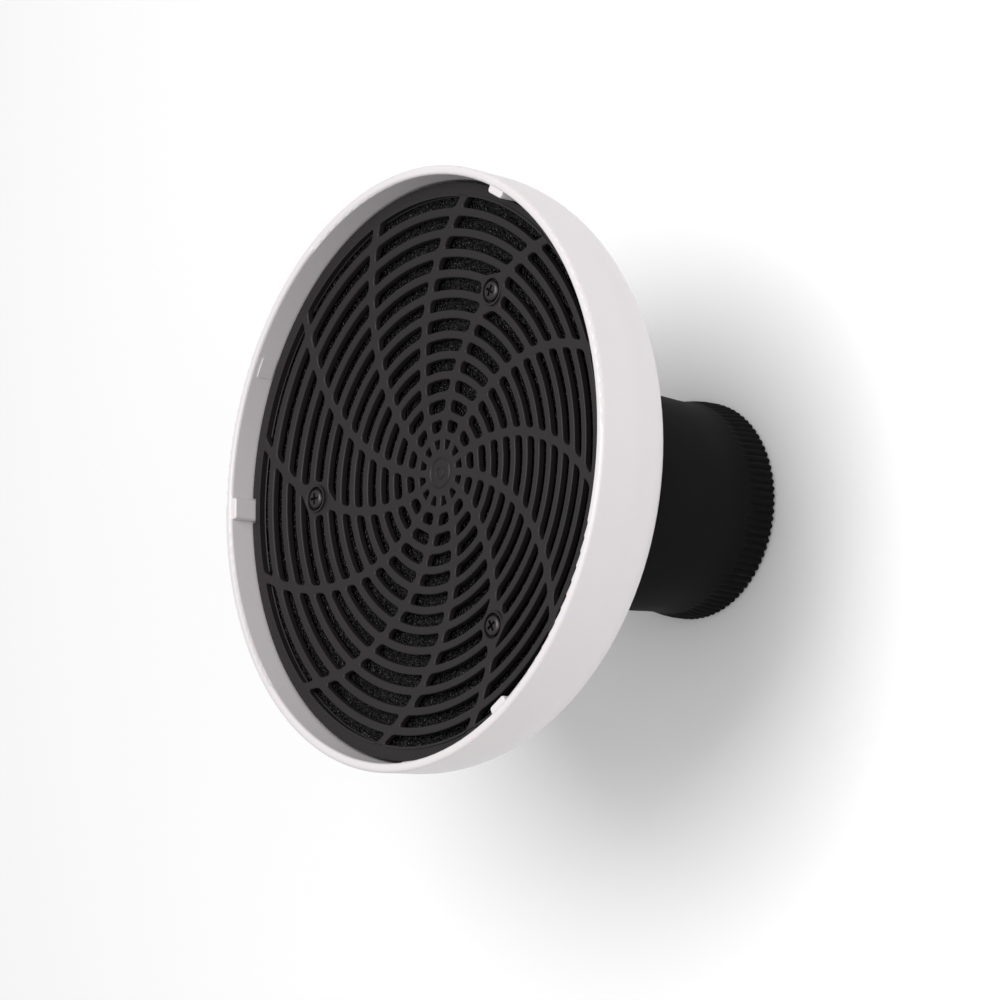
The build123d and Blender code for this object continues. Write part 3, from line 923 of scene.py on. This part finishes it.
class DIFFUSER_OT_stage(bpy.types.Operator):
    """Lays the floor, hangs the lights and sets up the camera"""

    bl_idname = "diffuser.stage"
    bl_label = "Stage"

    def execute(self, context):
        s = context.scene.diffuser_stage
        bm = bmesh.new()
        bmesh.ops.create_grid(bm, x_segments=8, y_segments=8, size=3.0)
        mesh = bpy.data.meshes.new("floor")
        bm.to_mesh(mesh)
        bm.free()
        floor = bpy.data.objects.new("floor", mesh)
        context.scene.collection.objects.link(floor)
        dress(floor, painted_floor())

        middle = (CAD_BOX[0] + CAD_BOX[1]) / 2
        softbox("key", s.softbox, (0.24, -0.28, 1.3), middle, s.key_power)
        softbox("front", s.softbox, (-0.15, -1.2, 0.85), middle, s.front_power)

        world = bpy.data.worlds.new("studio")
        context.scene.world = world
        world.use_nodes = True
        background = world.node_tree.nodes["Background"]
        background.inputs["Color"].default_value = linear("#FFFFFF")
        background.inputs["Strength"].default_value = s.world

        lens = bpy.data.cameras.new("camera")
        lens.lens = s.lens
        lens.sensor_width = 36
        lens.clip_start = 0.05
        lens.clip_end = 20
        camera = bpy.data.objects.new("camera", lens)
        turn = (
            Matrix.Rotation(s.azimuth, 4, "Z")
            @ Matrix.Rotation(pi / 2 - s.elevation, 4, "X")
            @ Matrix.Rotation(s.roll, 4, "Z")
        )
        lip_middle = Vector((0, 0, CAD_BOX[1].z))
        place = lip_middle + turn.to_3x3() @ Vector((s.aim_right, s.aim_up, s.distance))
        camera.matrix_world = Matrix.Translation(place) @ turn
        context.scene.collection.objects.link(camera)
        context.scene.camera = camera
        context.scene.view_settings.view_transform = "Standard"
        return {"FINISHED"}


class DIFFUSER_PT_parts(bpy.types.Panel):
    """Lists the pieces of the diffuser"""

    bl_label = "Dryer Diffuser"
    bl_idname = "DIFFUSER_PT_parts"
    bl_space_type = "VIEW_3D"
    bl_region_type = "UI"
    bl_category = "Diffuser"

    def draw(self, context):
        for operator in OPERATORS:
            self.layout.operator(operator.bl_idname)


SETTINGS = {
    "diffuser_bowl": DiffuserBowlSettings,
    "diffuser_grille": DiffuserGrilleSettings,
    "diffuser_foam": DiffuserFoamSettings,
    "diffuser_sleeve": DiffuserSleeveSettings,
    "diffuser_fittings": DiffuserFittingSettings,
    "diffuser_stage": DiffuserStageSettings,
}
OPERATORS = (
    DIFFUSER_OT_bowl,
    DIFFUSER_OT_grille,
    DIFFUSER_OT_foam,
    DIFFUSER_OT_sleeve,
    DIFFUSER_OT_fittings,
    DIFFUSER_OT_stage,
)


def register():
    for settings in SETTINGS.values():
        bpy.utils.register_class(settings)
    for cls in OPERATORS + (DIFFUSER_PT_parts,):
        bpy.utils.register_class(cls)
    for name, settings in SETTINGS.items():
        setattr(bpy.types.Scene, name, PointerProperty(type=settings))


def unregister():
    for name in SETTINGS:
        delattr(bpy.types.Scene, name)
    for cls in (DIFFUSER_PT_parts,) + OPERATORS[::-1]:
        bpy.utils.unregister_class(cls)
    for settings in SETTINGS.values():
        bpy.utils.unregister_class(settings)


def main():
    register()
    bpy.ops.diffuser.bowl()
    bpy.ops.diffuser.grille()
    bpy.ops.diffuser.foam()
    bpy.ops.diffuser.sleeve()
    bpy.ops.diffuser.fittings()
    bpy.ops.diffuser.stage()


if __name__ == "__main__":
    main()
